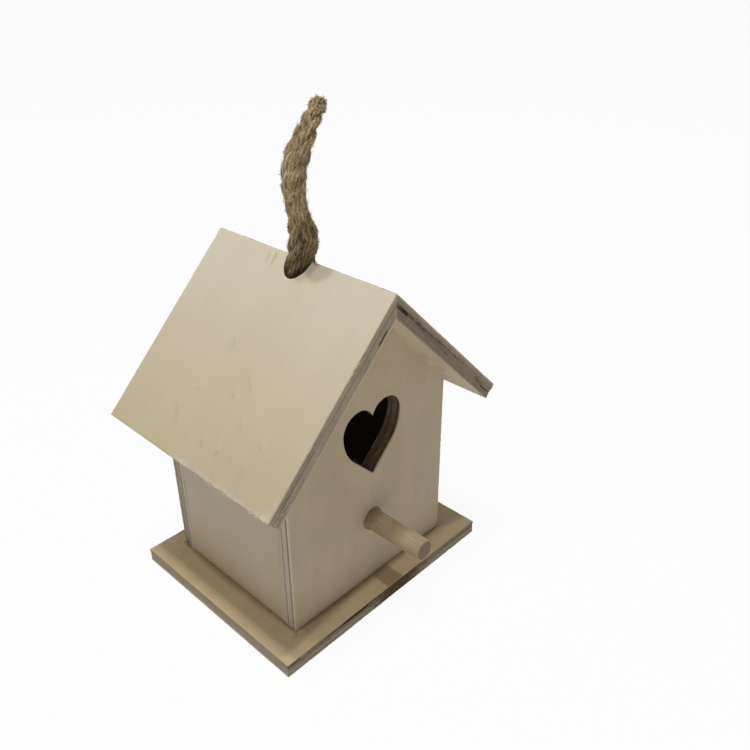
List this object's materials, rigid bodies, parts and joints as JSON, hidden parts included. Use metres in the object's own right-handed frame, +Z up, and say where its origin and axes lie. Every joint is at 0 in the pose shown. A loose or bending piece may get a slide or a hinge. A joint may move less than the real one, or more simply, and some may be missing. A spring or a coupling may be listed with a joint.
{
  "type": "birdhouse",
  "caption": "Small plywood birdhouse with a steep pitched roof, heart-shaped entrance, dowel perch and a rope loop through the ridge to hang it by.",
  "frame": {"origin": "centre of the base plate's underside", "axes": "+Z up, the entrance and perch face -Y, the ridge runs along Y"},
  "size_m": [0.1138, 0.104, 0.1833],
  "materials": {
    "plywood": "raw sanded plywood, unsealed",
    "dowel": "raw turned dowel",
    "jute": "twisted natural jute",
    "brad_steel": "bright wire"
  },
  "bodies": {
    "house": {"base_plate": "plywood", "front_panel": "plywood", "back_panel": "plywood", "left_wall": "plywood", "right_wall": "plywood", "left_roof_panel": "plywood", "right_roof_panel": "plywood", "perch_dowel": "dowel", "base_brads": "brad_steel"},
    "rope_stem": {"hanger_legs": "jute", "hanger_knot": "jute"},
    "rope_loop": {"hanger_loop": "jute"}
  },
  "joints": [
    {"name": "hanger_twist", "type": "hinge", "parent": "house", "child": "rope_stem", "pos_m": [0, -0.00025, 0.12019], "axis": [0, 0, 1], "continuous": true},
    {"name": "hanger_sway", "type": "hinge", "parent": "rope_stem", "child": "rope_loop", "pos_m": [0, -0.00025, 0.13119], "axis": [0.723, 0.6909, 0], "range_deg": [-60, 60], "stiffness_Nm_per_rad": 0.01, "deforming": ["hanger_loop"]}
  ]
}
